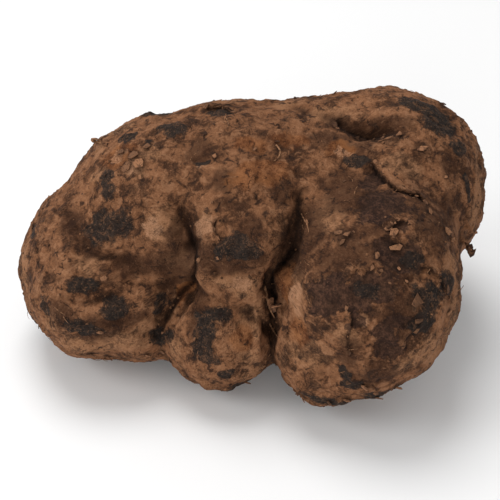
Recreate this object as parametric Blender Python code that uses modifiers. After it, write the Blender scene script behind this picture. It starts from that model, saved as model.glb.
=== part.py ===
"""Purple yam: one lobed tuber with corky bark, lying on its flattened underside.

Lengths below are in millimetres and angles in degrees; the model itself is in metres, +Z up.
The flesh is shaped round its own middle, and the last step puts the origin on the surface that
the tuber rests on, under the middle of its box. -Y is the front, where the toe-like lobes point.
"""

import math
import random
from collections import namedtuple

import bmesh
import bpy
import numpy as np
from mathutils import Euler, Matrix, Vector, noise
from mathutils.bvhtree import BVHTree

MM = 0.001

# Swellings that grew together into the tuber: middle, half-axes and turn about X, Y and Z.
Lobe = namedtuple("Lobe", "centre radii turn")
LOBES = {
    "palm": Lobe((4, 26, 64), (88, 53, 56), (0, 0, 0)),
    "left lobe": Lobe((-75, 12, 45), (42, 50.5, 45.5), (0, 0, 0)),
    "left lobe, inner": Lobe((-60, 4, 41), (34, 42, 38), (0, 0, 0)),
    "left shoulder": Lobe((-42, 26, 74), (51, 48, 46), (0, -8, 0)),
    "crown": Lobe((-8, 33, 87.5), (58, 44, 37), (0, 0, 0)),
    "saddle": Lobe((40, 43, 95), (40, 36, 29), (0, 0, 0)),
    "back lobe": Lobe((69, 39, 78), (52, 53, 49), (0, 0, 0)),
    "back lobe, corner": Lobe((89, 43, 97), (26, 26, 25), (0, 0, 0)),
    "heel": Lobe((30, 48, 40), (70, 40, 40), (0, 0, 0)),
    "back left lobe": Lobe((-46, 56, 44), (38, 34, 42), (0, 10, 20)),
    "rump": Lobe((8, 66, 56), (32, 28, 38), (0, -15, 0)),
    "right lobe": Lobe((56, -13, 57), (45, 58, 57), (0, 16, 0)),
    "right toe": Lobe((40, -21, 38), (32, 45, 35), (0, 0, 0)),
    "middle toe": Lobe((-12.5, -16, 34), (32, 36, 32), (0, 0, 0)),
    "toe waist": Lobe((-9, -12, 50), (26, 26, 22), (0, 0, 0)),
    "nose": Lobe((-4, -10, 87), (29, 20, 37), (-41, 0, 0)),
}
LOBE_SPHERE_SEGMENTS = 48
LOBE_SPHERE_RINGS = 32

SKIN_VOXEL = 2.0
# The lobes flow into one another on the upper side and part below it, at the front.
MERGED_FROM_Z = 46
MERGED_TO_Z = 95
PARTED_SHARE = 0.04
MERGING = 100
EASING = 2
EASING_FACTOR = 0.5

# The folds and hollows of the front are placed as an eye sees them: across and up from the point
# that it aims at, on the plane through that point which faces it.
EYE_DISTANCE = 620
EYE_ELEVATION = 38
EYE_AIM = (0, 0, 66)
Fold = namedtuple("Fold", "route width depth")
FOLDS = {
    "left of the nose": Fold(((-35, 26), (-34, 16), (-32, 10), (-30, 1), (-27, -7)), 5, 7),
    "left of the toe": Fold(((-27, -7), (-29, -17), (-36, -26), (-42, -34), (-46, -47)), 3, 6),
    "under the nose": Fold(((-27, -8), (-17, -12), (-8, -14), (0, -14), (8, -11)), 4, 2.5),
    "right of the nose": Fold(((24, 38), (24, 15), (22, 6), (20, -2), (16, -9), (11, -14)), 3.5, 7),
    "right of the toe": Fold(((16, -9), (11, -14), (10, -21), (10, -38), (9, -52)), 2.5, 10),
    "before the back lobe": Fold(((17, 71), (27, 68), (38, 65), (47, 61), (57, 58), (70, 57)), 5, 3),
    "left brow": Fold(((-89, 6), (-81, -3), (-67, -6), (-53, -3)), 5, 3),
    "left chin": Fold(((-95, -21), (-79, -24), (-63, -22)), 4.5, 2.5),
}
FOLD_OPENING = 3
FOLD_OPENING_DEPTH = 0.15
FOLD_EASING = 2
FOLD_ENDS = 0.2
FOLD_END_DEPTH = 0.2
HOLLOW_REACH = 2
Hollow = namedtuple("Hollow", "across up wide high depth")
HOLLOWS = {
    "dimple": Hollow(59, 60, 14, 5, 8),
    "left cheek": Hollow(-71, 13, 16, 10, 3),
}

# Lumps of the flesh and plates of thick bark, raised from the skin by noise.
Grain = namedtuple("Grain", "size height")
LUMPS = (Grain(34, 2.6), Grain(15, 1.3), Grain(7, 0.5))
PLATES = Grain(19, 0.9)
PLATE_FROM = 0.08
PLATE_TO = 0.16
PLATE_SHIFT = (7.3, 2.1, 4.4)

SKIN_TRIANGLES = 8000

# Feeding roots broken off short, and loose chips of bark: both sit all over the skin.
SEED = 11
ROOT_COUNT = 84
ROOT_LENGTH = (3, 9)
ROOT_RADIUS = (0.7, 1.3)
ROOT_SUNK = 3
ROOT_BEND = 0.45
# Its thickness under the skin, at the bend and at the tip, as shares of its radius.
ROOT_TAPER = (1.15, 0.85, 0.55)
ROOT_LEAST_RISE = 0.4
SEEN_ROOT_RISE = 0.8
WELD = 0.01
ROOT_LEAN = 0.9
ROOT_DROOP = 0.5
CHIP_COUNT = 46
CHIP_SIZE = (3.0, 5.5)
CHIP_SIDES = 5
CHIP_BREADTH = 0.75
CHIP_TOP_SHARE = 0.85
CHIP_THICKNESS = 1.1
CHIP_LIFT = 22
SPIRAL_MIDDLE = (0, 20, 62)
SPIRAL_JITTER = 0.3
LOWEST_REPEAT_Z = 14
# The front has only the roots named below: the others sit where they turn from the eye.
ROOT_FACING = -0.15

# The largest roots and chips of the front, where the eye sees them.
SeenRoot = namedtuple("SeenRoot", "across up length radius lean")
SEEN_ROOTS = {
    "in the cleft": SeenRoot(6, -20, 14, 1.2, (0.35, -1.2)),
    "right edge, thick": SeenRoot(105, 7, 11, 2.0, (0.5, -1.3)),
    "right edge, thin": SeenRoot(107, 12, 7, 1.1, (1.0, -0.8)),
    "left edge": SeenRoot(-73, 53, 6, 0.8, (-1.0, 0.2)),
    "below the right lobe": SeenRoot(61, -67, 7, 1.0, (0.6, -1.0)),
    "right lobe corner": SeenRoot(27, -68, 7, 1.4, (-1.2, -0.6)),
}
SeenChip = namedtuple("SeenChip", "across up size")
SEEN_CHIPS = {
    "by the dimple": SeenChip(74, 56, 4.5),
    "above the peeled patch": SeenChip(85, 50, 5.0),
    "right of the peeled patch": SeenChip(97, 9, 4.5),
    "on the right lobe": SeenChip(71, 9, 5.0),
    "on the right lobe, low": SeenChip(80, -25, 5.5),
    "on the right lobe, lower": SeenChip(70, -20, 4.0),
    "beside the nose": SeenChip(45, 7, 6.0),
    "on the shoulder": SeenChip(-58, 46, 4.5),
    "on the shoulder, lower": SeenChip(-55, 40, 5.0),
    "on top": SeenChip(-17, 72, 5.5),
}

# The flesh is pressed flat where the tuber lies.
REST_CUT = 2.5

BARK_COLOUR = (0.13, 0.065, 0.036, 1.0)
BARK_ROUGHNESS = 0.85


def clear_scene():
    for obj in list(bpy.data.objects):
        bpy.data.objects.remove(obj, do_unlink=True)


def collection_named(name):
    collection = bpy.data.collections.new(name)
    bpy.context.scene.collection.children.link(collection)
    return collection


def lobe_matrix(lobe):
    """A unit sphere placed by this is the lobe, in metres."""
    centre = Matrix.Translation(Vector(lobe.centre) * MM)
    turn = Euler([math.radians(angle) for angle in lobe.turn]).to_matrix().to_4x4()
    return centre @ turn @ Matrix.Diagonal((*(radius * MM for radius in lobe.radii), 1))


def add_lobes(shape, lobes):
    for lobe in lobes.values():
        bmesh.ops.create_uvsphere(
            shape,
            u_segments=LOBE_SPHERE_SEGMENTS,
            v_segments=LOBE_SPHERE_RINGS,
            radius=1,
            matrix=lobe_matrix(lobe),
        )


def evaluated_mesh(obj):
    """The object's mesh with its modifiers applied; the object itself is removed."""
    bpy.context.view_layer.update()
    graph = bpy.context.evaluated_depsgraph_get()
    mesh = bpy.data.meshes.new_from_object(obj.evaluated_get(graph))
    bpy.data.objects.remove(obj, do_unlink=True)
    return mesh


def object_of(shape, name):
    mesh = bpy.data.meshes.new(name)
    shape.to_mesh(mesh)
    shape.free()
    obj = bpy.data.objects.new(name, mesh)
    bpy.context.scene.collection.objects.link(obj)
    return obj


def one_skin(lobes):
    """The outer skin of all the lobes, with sharp creases where they meet."""
    shape = bmesh.new()
    add_lobes(shape, lobes)
    obj = object_of(shape, "lobes")
    remesh = obj.modifiers.new("Grown together", "REMESH")
    remesh.mode = "VOXEL"
    remesh.voxel_size = SKIN_VOXEL * MM
    return evaluated_mesh(obj)


def merged_share(point):
    """How far the lobes have merged there: 1 on the upper side, less low down at the front."""
    height = (point.z / MM - MERGED_FROM_Z) / (MERGED_TO_Z - MERGED_FROM_Z)
    height = min(1.0, max(0.0, height))
    return PARTED_SHARE + (1 - PARTED_SHARE) * height * height * (3 - 2 * height)


def eased(mesh):
    """The same skin with its creases filled out, more so where the lobes have merged."""
    obj = bpy.data.objects.new("eased", mesh)
    bpy.context.scene.collection.objects.link(obj)
    merged = obj.vertex_groups.new(name="merged")
    for vertex in mesh.vertices:
        merged.add([vertex.index], merged_share(vertex.co), "REPLACE")
    for name, iterations, group in (("Merged", MERGING, "merged"), ("Eased", EASING, "")):
        smooth = obj.modifiers.new(name, "SMOOTH")
        smooth.factor = EASING_FACTOR
        smooth.iterations = iterations
        smooth.vertex_group = group
    return evaluated_mesh(obj)


def eye_axes():
    """The directions from the flesh to the eye, to its right and up, as the eye sees them."""
    angle = math.radians(EYE_ELEVATION)
    back = Vector((0, -math.cos(angle), math.sin(angle)))
    right = Vector((1, 0, 0))
    return back, right, back.cross(right)


def seen_at(tree, across, up):
    """The point of the skin that the eye sees there."""
    back, right, upward = eye_axes()
    eye = (Vector(EYE_AIM) + back * EYE_DISTANCE) * MM
    target = (Vector(EYE_AIM) + right * across + upward * up) * MM
    return tree.ray_cast(eye, (target - eye).normalized())[0]


def distance_to_route(points, route):
    """Distance from each point to the broken line, and how far along it that is, from 0 to 1."""
    nearest = np.full(len(points), np.inf)
    along = np.zeros(len(points))
    legs = len(route) - 1
    for leg in range(legs):
        start = route[leg]
        run = route[leg + 1] - start
        share = np.clip((points - start) @ run / (run @ run), 0, 1)
        gap = np.linalg.norm(points - (start + share[:, None] * run), axis=1)
        closer = gap < nearest
        nearest[closer] = gap[closer]
        along[closer] = (leg + share[closer]) / legs
    return nearest, along


def fold_depths(points, tree):
    """How far the folds press each point in, in millimetres: a narrow cleft in a wider opening."""
    pressed = np.zeros(len(points))
    for fold in FOLDS.values():
        route = [seen_at(tree, across, up) for across, up in fold.route]
        gap, along = distance_to_route(points, np.array(route))
        ends = np.clip(np.minimum(along, 1 - along) / FOLD_ENDS, FOLD_END_DEPTH, 1)
        reach = gap / MM / fold.width
        cleft = np.exp(-(reach**2))
        opening = FOLD_OPENING_DEPTH * np.exp(-((reach / FOLD_OPENING) ** 2))
        pressed = np.maximum(pressed, fold.depth * ends * (cleft + opening))
    return pressed


def hollow_depths(points, tree):
    """How far the hollows press each point in, in millimetres."""
    pressed = np.zeros(len(points))
    _, right, upward = eye_axes()
    for hollow in HOLLOWS.values():
        centre = np.array(seen_at(tree, hollow.across, hollow.up))
        offset = (points - centre) / MM
        wide = offset @ np.array(right) / hollow.wide
        high = offset @ np.array(upward) / hollow.high
        deep = np.linalg.norm(offset, axis=1) < HOLLOW_REACH * hollow.wide
        pressed += deep * hollow.depth * np.exp(-(wide**2) - high**2)
    return pressed


def raised(point):
    """How far lumps and bark plates raise the skin there, in millimetres."""
    height = sum(lump.height * noise.noise(point / (lump.size * MM)) for lump in LUMPS)
    thick = noise.noise(point / (PLATES.size * MM) + Vector(PLATE_SHIFT))
    share = min(1.0, max(0.0, (thick - PLATE_FROM) / (PLATE_TO - PLATE_FROM)))
    return height + PLATES.height * share


def tree_of(mesh):
    shape = bmesh.new()
    shape.from_mesh(mesh)
    tree = BVHTree.FromBMesh(shape)
    shape.free()
    return tree


def move_along_normals(mesh, heights):
    """Moves each point of the skin out by its height, in millimetres."""
    points = np.array([vertex.co for vertex in mesh.vertices])
    normals = np.array([vertex.normal for vertex in mesh.vertices])
    points += normals * (heights * MM)[:, None]
    mesh.vertices.foreach_set("co", points.astype(np.float32).ravel())
    mesh.update()


def folded(mesh):
    """The skin with its folds and hollows pressed in."""
    tree = tree_of(mesh)
    points = np.array([vertex.co for vertex in mesh.vertices])
    move_along_normals(mesh, -fold_depths(points, tree) - hollow_depths(points, tree))
    obj = bpy.data.objects.new("folded", mesh)
    bpy.context.scene.collection.objects.link(obj)
    smooth = obj.modifiers.new("Eased folds", "SMOOTH")
    smooth.factor = EASING_FACTOR
    smooth.iterations = FOLD_EASING
    return evaluated_mesh(obj)


def rough(mesh):
    """The skin with its lumps and bark plates, in few enough triangles."""
    move_along_normals(mesh, np.array([raised(vertex.co) for vertex in mesh.vertices]))
    obj = bpy.data.objects.new("rough", mesh)
    bpy.context.scene.collection.objects.link(obj)
    mesh.calc_loop_triangles()
    fewer = obj.modifiers.new("Fewer triangles", "DECIMATE")
    fewer.ratio = SKIN_TRIANGLES / len(mesh.loop_triangles)
    return evaluated_mesh(obj)


def spread(tree, count, draw):
    """Places all over the skin, by a spiral round the tuber: (point, normal) pairs."""
    middle = Vector(SPIRAL_MIDDLE) * MM
    golden = math.pi * (3 - math.sqrt(5))
    for index in range(count):
        height = 1 - 2 * (index + 0.5) / count
        ring = math.sqrt(1 - height * height)
        turn = golden * index + draw.uniform(-SPIRAL_JITTER, SPIRAL_JITTER)
        outward = Vector((ring * math.cos(turn), ring * math.sin(turn), height))
        point, normal, _, _ = tree.ray_cast(middle + outward, -outward)
        if point.z > LOWEST_REPEAT_Z * MM:
            yield point, normal


def linked(mesh, collection, name):
    obj = bpy.data.objects.new(name, mesh)
    collection.objects.link(obj)
    return obj


def add_root(collection, point, out, length, radius, droop):
    """A broken feeding root: a short tapered tube from under the skin, drooping to its tip."""
    curve = bpy.data.curves.new("root", "CURVE")
    curve.dimensions = "3D"
    curve.bevel_depth = radius * MM
    curve.bevel_resolution = 1
    curve.use_fill_caps = True
    spline = curve.splines.new("POLY")
    reaches = (-ROOT_SUNK, length * ROOT_BEND, length)
    spline.points.add(len(reaches) - 1)
    for place, reach, share in zip(spline.points, reaches, ROOT_TAPER):
        sag = droop * length * max(0.0, reach / length) ** 2
        place.co = (*(point + out * reach * MM - Vector((0, 0, sag * MM))), 1)
        place.radius = share
    obj = linked(curve, collection, "root")
    mesh = evaluated_mesh(obj)
    shape = bmesh.new()
    shape.from_mesh(mesh)
    bmesh.ops.remove_doubles(shape, verts=shape.verts, dist=WELD * MM)
    shape.to_mesh(mesh)
    shape.free()
    linked(mesh, collection, "root")


def add_chip(collection, point, normal, size, turn):
    """A flake of bark: a thin five-sided plate, one edge under the skin and the other lifted."""
    shape = bmesh.new()
    stance = normal.to_track_quat("Z", "Y").to_matrix().to_4x4()
    lift = Matrix.Rotation(math.radians(CHIP_LIFT), 4, "X")
    spin = Matrix.Rotation(turn, 4, "Z")
    flat = Matrix.Diagonal((size * MM, CHIP_BREADTH * size * MM, CHIP_THICKNESS * MM, 1))
    bmesh.ops.create_cone(
        shape,
        cap_ends=True,
        cap_tris=True,
        segments=CHIP_SIDES,
        radius1=1,
        radius2=CHIP_TOP_SHARE,
        depth=1,
        matrix=Matrix.Translation(point) @ stance @ spin @ lift @ flat,
    )
    mesh = bpy.data.meshes.new("chip")
    shape.to_mesh(mesh)
    shape.free()
    linked(mesh, collection, "chip")


def add_roots(collection, tree):
    draw = random.Random(SEED)
    back, right, upward = eye_axes()
    for point, normal in spread(tree, ROOT_COUNT, draw):
        if normal.dot(back) > ROOT_FACING:
            continue
        lean = Vector([draw.uniform(-ROOT_LEAN, ROOT_LEAN) for _ in range(3)])
        out = (normal + lean).normalized()
        if out.dot(normal) < ROOT_LEAST_RISE:
            out = (out + normal).normalized()
        length = draw.uniform(*ROOT_LENGTH)
        add_root(collection, point, out, length, draw.uniform(*ROOT_RADIUS), ROOT_DROOP)
    for root in SEEN_ROOTS.values():
        point = seen_at(tree, root.across, root.up)
        normal = tree.find_nearest(point)[1]
        out = (normal * SEEN_ROOT_RISE + right * root.lean[0] + upward * root.lean[1]).normalized()
        add_root(collection, point, out, root.length, root.radius, 0)


def add_chips(collection, tree):
    draw = random.Random(SEED + 1)
    for point, normal in spread(tree, CHIP_COUNT, draw):
        size = draw.uniform(*CHIP_SIZE)
        add_chip(collection, point, normal, size, draw.uniform(0, math.tau))
    for chip in SEEN_CHIPS.values():
        point = seen_at(tree, chip.across, chip.up)
        normal = tree.find_nearest(point)[1]
        add_chip(collection, point, normal, chip.size, draw.uniform(0, math.tau))


def join_repeats(tuber, tree):
    """Fuses the roots and chips into the tuber."""
    repeats = collection_named("repeats")
    add_roots(repeats, tree)
    add_chips(repeats, tree)
    join = tuber.modifiers.new("Roots and chips", "BOOLEAN")
    join.operation = "UNION"
    join.operand_type = "COLLECTION"
    join.collection = repeats
    join.solver = "EXACT"
    join.use_self = True
    name = tuber.name
    mesh = evaluated_mesh(tuber)
    for obj in list(repeats.objects):
        bpy.data.objects.remove(obj, do_unlink=True)
    bpy.data.collections.remove(repeats)
    return bpy.data.objects.new(name, mesh)


def rest_flat(mesh):
    """Cuts the underside flat and puts the origin on that flat, under the middle of the box."""
    shape = bmesh.new()
    shape.from_mesh(mesh)
    cut = bmesh.ops.bisect_plane(
        shape,
        geom=shape.verts[:] + shape.edges[:] + shape.faces[:],
        plane_co=(0, 0, REST_CUT * MM),
        plane_no=(0, 0, 1),
        clear_inner=True,
    )
    rim = [item for item in cut["geom_cut"] if isinstance(item, bmesh.types.BMEdge)]
    bmesh.ops.triangle_fill(shape, edges=rim, use_beauty=True, normal=(0, 0, -1))
    points = np.array([vertex.co for vertex in shape.verts])
    low, high = points.min(axis=0), points.max(axis=0)
    shift = Vector((-(low[0] + high[0]) / 2, -(low[1] + high[1]) / 2, -low[2]))
    bmesh.ops.translate(shape, verts=shape.verts, vec=shift)
    shape.to_mesh(mesh)
    shape.free()


def bark_material():
    material = bpy.data.materials.new("bark")
    material.use_nodes = True
    shader = material.node_tree.nodes["Principled BSDF"]
    shader.inputs["Base Color"].default_value = BARK_COLOUR
    shader.inputs["Roughness"].default_value = BARK_ROUGHNESS
    shader.inputs["Metallic"].default_value = 0.0
    return material


def main():
    clear_scene()
    tuber_parts = collection_named("purple_yam")
    skin = rough(folded(eased(one_skin(LOBES))))
    tuber = bpy.data.objects.new("tuber", skin)
    bpy.context.scene.collection.objects.link(tuber)
    tuber = join_repeats(tuber, tree_of(skin))
    rest_flat(tuber.data)
    tuber.data.shade_smooth()
    tuber.data.materials.clear()
    tuber.data.materials.append(bark_material())
    tuber_parts.objects.link(tuber)


if __name__ == "__main__":
    main()
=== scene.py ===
import math
import random
from collections import namedtuple

import bmesh
import bpy
import numpy as np
from mathutils import Matrix, Vector, noise
from mathutils.bvhtree import BVHTree


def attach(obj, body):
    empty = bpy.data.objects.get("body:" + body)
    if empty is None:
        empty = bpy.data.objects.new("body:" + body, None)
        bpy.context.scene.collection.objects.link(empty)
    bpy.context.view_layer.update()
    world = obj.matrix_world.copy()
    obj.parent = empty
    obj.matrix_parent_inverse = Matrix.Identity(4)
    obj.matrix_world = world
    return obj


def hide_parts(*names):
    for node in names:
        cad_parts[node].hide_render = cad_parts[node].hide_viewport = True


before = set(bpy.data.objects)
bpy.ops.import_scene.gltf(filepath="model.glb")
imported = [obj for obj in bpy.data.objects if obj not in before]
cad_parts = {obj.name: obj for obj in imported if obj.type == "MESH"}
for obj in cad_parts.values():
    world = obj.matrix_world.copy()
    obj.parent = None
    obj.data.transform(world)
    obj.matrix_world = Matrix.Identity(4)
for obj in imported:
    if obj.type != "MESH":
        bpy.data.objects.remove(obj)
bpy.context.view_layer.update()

MM = 0.001

# The table and the light.
# A matt white table top, lit by soft boxes overhead, at the left and in front, and by a white room,
# so that the tuber is evenly bright and only its folds stay dark.

EYE_AIM = Vector((-0.001, -0.0099, 0.0635))
EYE_DISTANCE = 0.62
EYE_ELEVATION = math.radians(38)
LENS = 90
SENSOR = 36
PHOTO_SIZE = 500
TABLE_SIZE = 6
TABLE_WHITE = (0.86, 0.86, 0.86, 1)
ROOM_WHITE = (1, 1, 1, 1)
ROOM_LIGHT = 0.53
SOFT_BOXES = {
    "overhead": ((-0.25, 0.45, 1.5), 0.9, 13.5),
    "left": ((-1.3, -0.3, 0.9), 0.8, 7),
    "front": ((-0.3, -1.5, 0.5), 0.9, 7.5),
}

towards_eye = Vector((0, -math.cos(EYE_ELEVATION), math.sin(EYE_ELEVATION)))
eye_right = Vector((1, 0, 0))
eye_up = towards_eye.cross(eye_right)
eye = EYE_AIM + towards_eye * EYE_DISTANCE

camera = bpy.data.objects.new("camera", bpy.data.cameras.new("camera"))
camera.data.lens = LENS
camera.data.sensor_width = SENSOR
camera.location = eye
camera.rotation_euler = (-towards_eye).to_track_quat("-Z", "Y").to_euler()
bpy.context.scene.collection.objects.link(camera)
bpy.context.scene.camera = camera
bpy.context.scene.view_settings.view_transform = "Standard"

room = bpy.data.worlds.new("room")
room.use_nodes = True
room.node_tree.nodes["Background"].inputs["Color"].default_value = ROOM_WHITE
room.node_tree.nodes["Background"].inputs["Strength"].default_value = ROOM_LIGHT
bpy.context.scene.world = room

for name, (place, size, power) in SOFT_BOXES.items():
    light = bpy.data.objects.new(name, bpy.data.lights.new(name, "AREA"))
    light.data.shape = "DISK"
    light.data.size = size
    light.data.energy = power
    light.location = place
    light.rotation_euler = (EYE_AIM - Vector(place)).to_track_quat("-Z", "Y").to_euler()
    bpy.context.scene.collection.objects.link(light)

table_shape = bmesh.new()
bmesh.ops.create_grid(table_shape, x_segments=1, y_segments=1, size=TABLE_SIZE / 2)
table = bpy.data.objects.new("table", bpy.data.meshes.new("table"))
table_shape.to_mesh(table.data)
table_shape.free()
table_top = bpy.data.materials.new("table_top")
table_top.use_nodes = True
table_top.node_tree.nodes["Principled BSDF"].inputs["Base Color"].default_value = TABLE_WHITE
table_top.node_tree.nodes["Principled BSDF"].inputs["Roughness"].default_value = 0.9
table.data.materials.append(table_top)
bpy.context.scene.collection.objects.link(table)

# The skin of the tuber.
# One corky skin over all the lobes: brown and finely streaked away from the neck where the lobes
# meet, with wrinkles, pits, raised plates of thick bark, black scabs and patches that have peeled.

SKIN_VOXEL = 1.27 * MM
THIN = 4.5 * MM
THIN_REACH = 3
THIN_SMOOTHING = 49
SKIN_SMOOTHING = 4
SMOOTHING_PULL = 0.5
UNDER_SKIN = 0.1 * MM
NECK = Vector((0, 0.02, 0.06))

# Each mark is a blot of the skin: the pixel of the photograph where it shows, its half-width and
# half-height there in pixels, and how far it is turned anticlockwise, in degrees.
Mark = namedtuple("Mark", "x y wide high turn", defaults=(0,))
# The thin marks along the bottom edge and those in the left cleft are painted shade.
BLACK_SCABS_AND_SHADE = [
    (172, 130, 14, 8, -10), (134, 137, 8, 5), (121, 141, 4, 4), (150, 143, 5, 4),
    (158, 116, 17, 5, 15), (219, 113, 15, 6), (107, 178, 8, 9), (107, 193, 12, 8, 20),
    (203, 165, 9, 5), (106, 226, 27, 16, 10), (238, 247, 24, 14, -10), (221, 252, 9, 7),
    (356, 161, 16, 7, -5), (412, 104, 14, 7, -20), (436, 121, 24, 15, -40), (458, 148, 9, 8),
    (467, 190, 3, 13), (448, 283, 9, 12, 30), (430, 296, 18, 17), (425, 322, 17, 11, 20),
    (368, 290, 13, 9), (413, 262, 12, 9), (84, 285, 16, 9, -10), (117, 309, 15, 10),
    (82, 328, 19, 8, -20), (160, 303, 4, 12, -20), (158, 336, 12, 7), (215, 316, 19, 11, 10),
    (205, 332, 11, 12), (206, 352, 16, 12), (236, 384, 14, 4), (226, 375, 9, 5), (344, 372, 8, 7),
    (352, 384, 15, 6, 10), (325, 399, 30, 4), (375, 394, 16, 4, 15), (45, 306, 5, 9, 30),
    (33, 232, 5, 7),
]
PEELED = [
    (388, 208, 32, 22, -10), (372, 182, 12, 9), (328, 296, 24, 22, -10), (358, 298, 16, 10),
    (398, 330, 22, 14), (400, 258, 28, 16, -20), (375, 285, 24, 16), (390, 345, 17, 17),
    (355, 320, 14, 12),
]
# Pale dust, and painted light along the top and the sides of the tuber and on some lit bulges.
PALE = [
    (202, 222, 9, 12), (162, 226, 20, 18, -20), (238, 285, 24, 11, -10), (296, 292, 9, 30),
    (452, 275, 9, 20, 10), (418, 305, 7, 6), (402, 166, 24, 12, -20), (310, 350, 20, 14),
    (432, 350, 12, 18, -40), (246, 345, 9, 26), (150, 327, 18, 8), (118, 338, 18, 7),
    (133, 166, 8, 7), (345, 335, 16, 9, -20), (256, 305, 9, 20, 5), (110, 345, 40, 8, 4),
    (126, 338, 16, 7), (176, 302, 5, 16), (176, 350, 8, 14), (253, 372, 10, 12),
    (412, 362, 20, 8, 25), (366, 320, 8, 9), (90, 262, 16, 8), (330, 215, 14, 18),
    (180, 260, 16, 10, 30), (330, 115, 24, 10, 10), (242, 99, 40, 6), (284, 106, 14, 6),
    (426, 98, 12, 5, -20), (112, 129, 14, 6, 30), (99, 150, 8, 9), (100, 175, 9, 8),
    (150, 153, 10, 7), (478, 190, 6, 44), (24, 264, 7, 26), (52, 322, 12, 12, -40),
    (74, 346, 14, 8, -20), (124, 128, 12, 5, 30), (222, 99, 16, 5), (252, 322, 11, 22),
    (452, 318, 9, 26), (388, 292, 8, 6), (300, 350, 9, 20),
]
ORANGE = [
    (120, 156, 17, 11), (262, 172, 34, 12, 20), (285, 284, 8, 20), (116, 160, 12, 9),
    (187, 293, 4, 14, -35), (186, 286, 3, 12, -40), (246, 340, 9, 14), (300, 330, 9, 16),
    (340, 150, 14, 8), (250, 145, 18, 9), (290, 140, 20, 8),
]
# Dirt that clings to the skin, with painted shade; scuffs back to bright cork, with a painted highlight.
# These marks also paint shade by the clefts and on the shaded sides of the lobes.
DIRT_AND_SHADE_MARKS = [
    (284, 246, 9, 14, 10), (190, 240, 9, 24), (245, 262, 26, 7, 5), (288, 285, 5, 26),
    (90, 250, 14, 12), (330, 265, 16, 20), (446, 225, 14, 30), (375, 250, 22, 12),
    (345, 195, 24, 26, 20), (350, 152, 22, 8), (350, 126, 26, 8, -10), (350, 240, 16, 20),
    (425, 215, 18, 22), (450, 165, 12, 18), (222, 180, 17, 13, 30), (228, 255, 24, 9),
    (175, 238, 9, 18, -10), (200, 300, 8, 28, -10), (328, 138, 20, 10), (404, 328, 16, 14),
    (350, 376, 12, 10), (232, 203, 16, 9, 10), (277, 190, 9, 15, 15), (176, 262, 22, 20),
    (226, 264, 28, 12), (140, 264, 30, 12, 10), (62, 316, 22, 12, -30), (122, 320, 30, 8),
    (314, 226, 14, 26), (302, 255, 12, 24), (376, 226, 16, 16), (402, 312, 20, 22),
    (348, 352, 12, 16), (203, 252, 10, 10), (200, 152, 16, 12), (388, 126, 24, 12),
    (352, 148, 18, 10), (376, 200, 18, 16), (252, 228, 16, 14), (208, 254, 24, 12),
    (302, 250, 14, 16), (350, 252, 16, 14), (186, 276, 20, 12), (202, 325, 16, 16),
    (402, 326, 18, 16), (98, 330, 22, 14), (378, 376, 20, 10), (404, 278, 14, 12),
    (74, 224, 14, 16), (170, 284, 16, 12, -30),
]
# The first of these is a painted highlight on the lit side of the lobe between the clefts.
SCUFFS_AND_HIGHLIGHT = [
    (203, 226, 9, 13), (418, 306, 6, 6), (134, 166, 6, 5), (366, 322, 5, 6), (201, 169, 5, 4),
    (342, 154, 9, 4), (152, 228, 9, 12, 20), (118, 157, 8, 6, 20), (296, 300, 5, 14, 5),
    (240, 284, 12, 5, -10),
]
MARK_EDGE = (0.45, 1.5)
MARK_DEPTH = 14 * MM
# How much a mark is drawn out at most where the skin turns away: the least share that shows.
LEAST_SHOWN = 0.4
# Noise bends the marks' outlines: how wide its waves are and how far it reaches, in millimetres.
MARK_BENDS = ((9, 3.2), (3.5, 2.0))
MARK_SEED = 7
OUTLINE_STEP = 0.01
OUTLINE_STEPS = 12

# Each crease is a line of the skin: pixels of the photograph that it runs through, then how wide
# and how deep it is, in millimetres. The two clefts are a slit at the bottom of a wider valley.
Crease = namedtuple("Crease", "route width depth")
LEFT_CLEFT = [(185, 214), (189, 226), (193, 243), (198, 259), (194, 279), (179, 298), (166, 316), (160, 342)]
RIGHT_CLEFT = [(300, 180), (299, 214), (297, 232), (293, 249), (284, 263), (275, 274), (272, 290), (271, 362)]
CREASES = [
    Crease(LEFT_CLEFT, 1.3, 3.6),
    Crease(LEFT_CLEFT[:4], 4.5, 1.6),
    Crease(RIGHT_CLEFT[2:], 1.3, 8.0),
    Crease(RIGHT_CLEFT[:4], 1.1, 2.2),
    Crease(RIGHT_CLEFT, 4.5, 2.0),
    Crease([(198, 260), (214, 268), (238, 272), (262, 270), (278, 266)], 3.2, 1.2),
    Crease([(284, 106), (305, 111), (330, 119), (352, 130)], 2.4, 1.3),
    Crease([(70, 208), (74, 228), (84, 246), (104, 256), (132, 257)], 2.2, 1.6),
    Crease([(48, 246), (56, 262), (74, 274), (100, 276)], 1.8, 1.0),
    Crease([(56, 292), (78, 303), (104, 300), (128, 290)], 1.8, 1.1),
    Crease([(62, 318), (88, 322), (112, 324), (140, 316)], 1.8, 0.9),
    Crease([(118, 280), (142, 287), (166, 282)], 1.6, 0.8),
    Crease([(92, 340), (120, 330), (150, 333), (165, 340)], 1.6, 0.9),
    Crease([(283, 148), (277, 160), (266, 168)], 0.9, 0.6),
    Crease([(268, 138), (280, 146), (290, 152)], 0.9, 0.5),
    Crease([(330, 235), (342, 242), (352, 232)], 1.0, 0.9),
    Crease([(371, 160), (379, 173), (388, 182), (401, 191), (416, 195), (428, 204)], 0.8, 2.4),
    Crease([(336, 124), (346, 133), (358, 138), (374, 140), (388, 139)], 0.9, 2.0),
    Crease([(436, 105), (452, 122), (460, 140)], 1.2, 0.9),
    Crease([(444, 262), (450, 285), (446, 310)], 1.2, 0.8),
    Crease([(216, 218), (214, 232), (222, 244)], 0.9, 0.9),
    Crease([(186, 146), (200, 140), (210, 133)], 0.9, 0.6),
]
# Noise makes a crease wider and narrower; it fades out over its ends.
CREASE_WOBBLE = 0.35
CREASE_WAVES = 3.0
CREASE_FADE = 5
CREASE_END = 0.1
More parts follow.
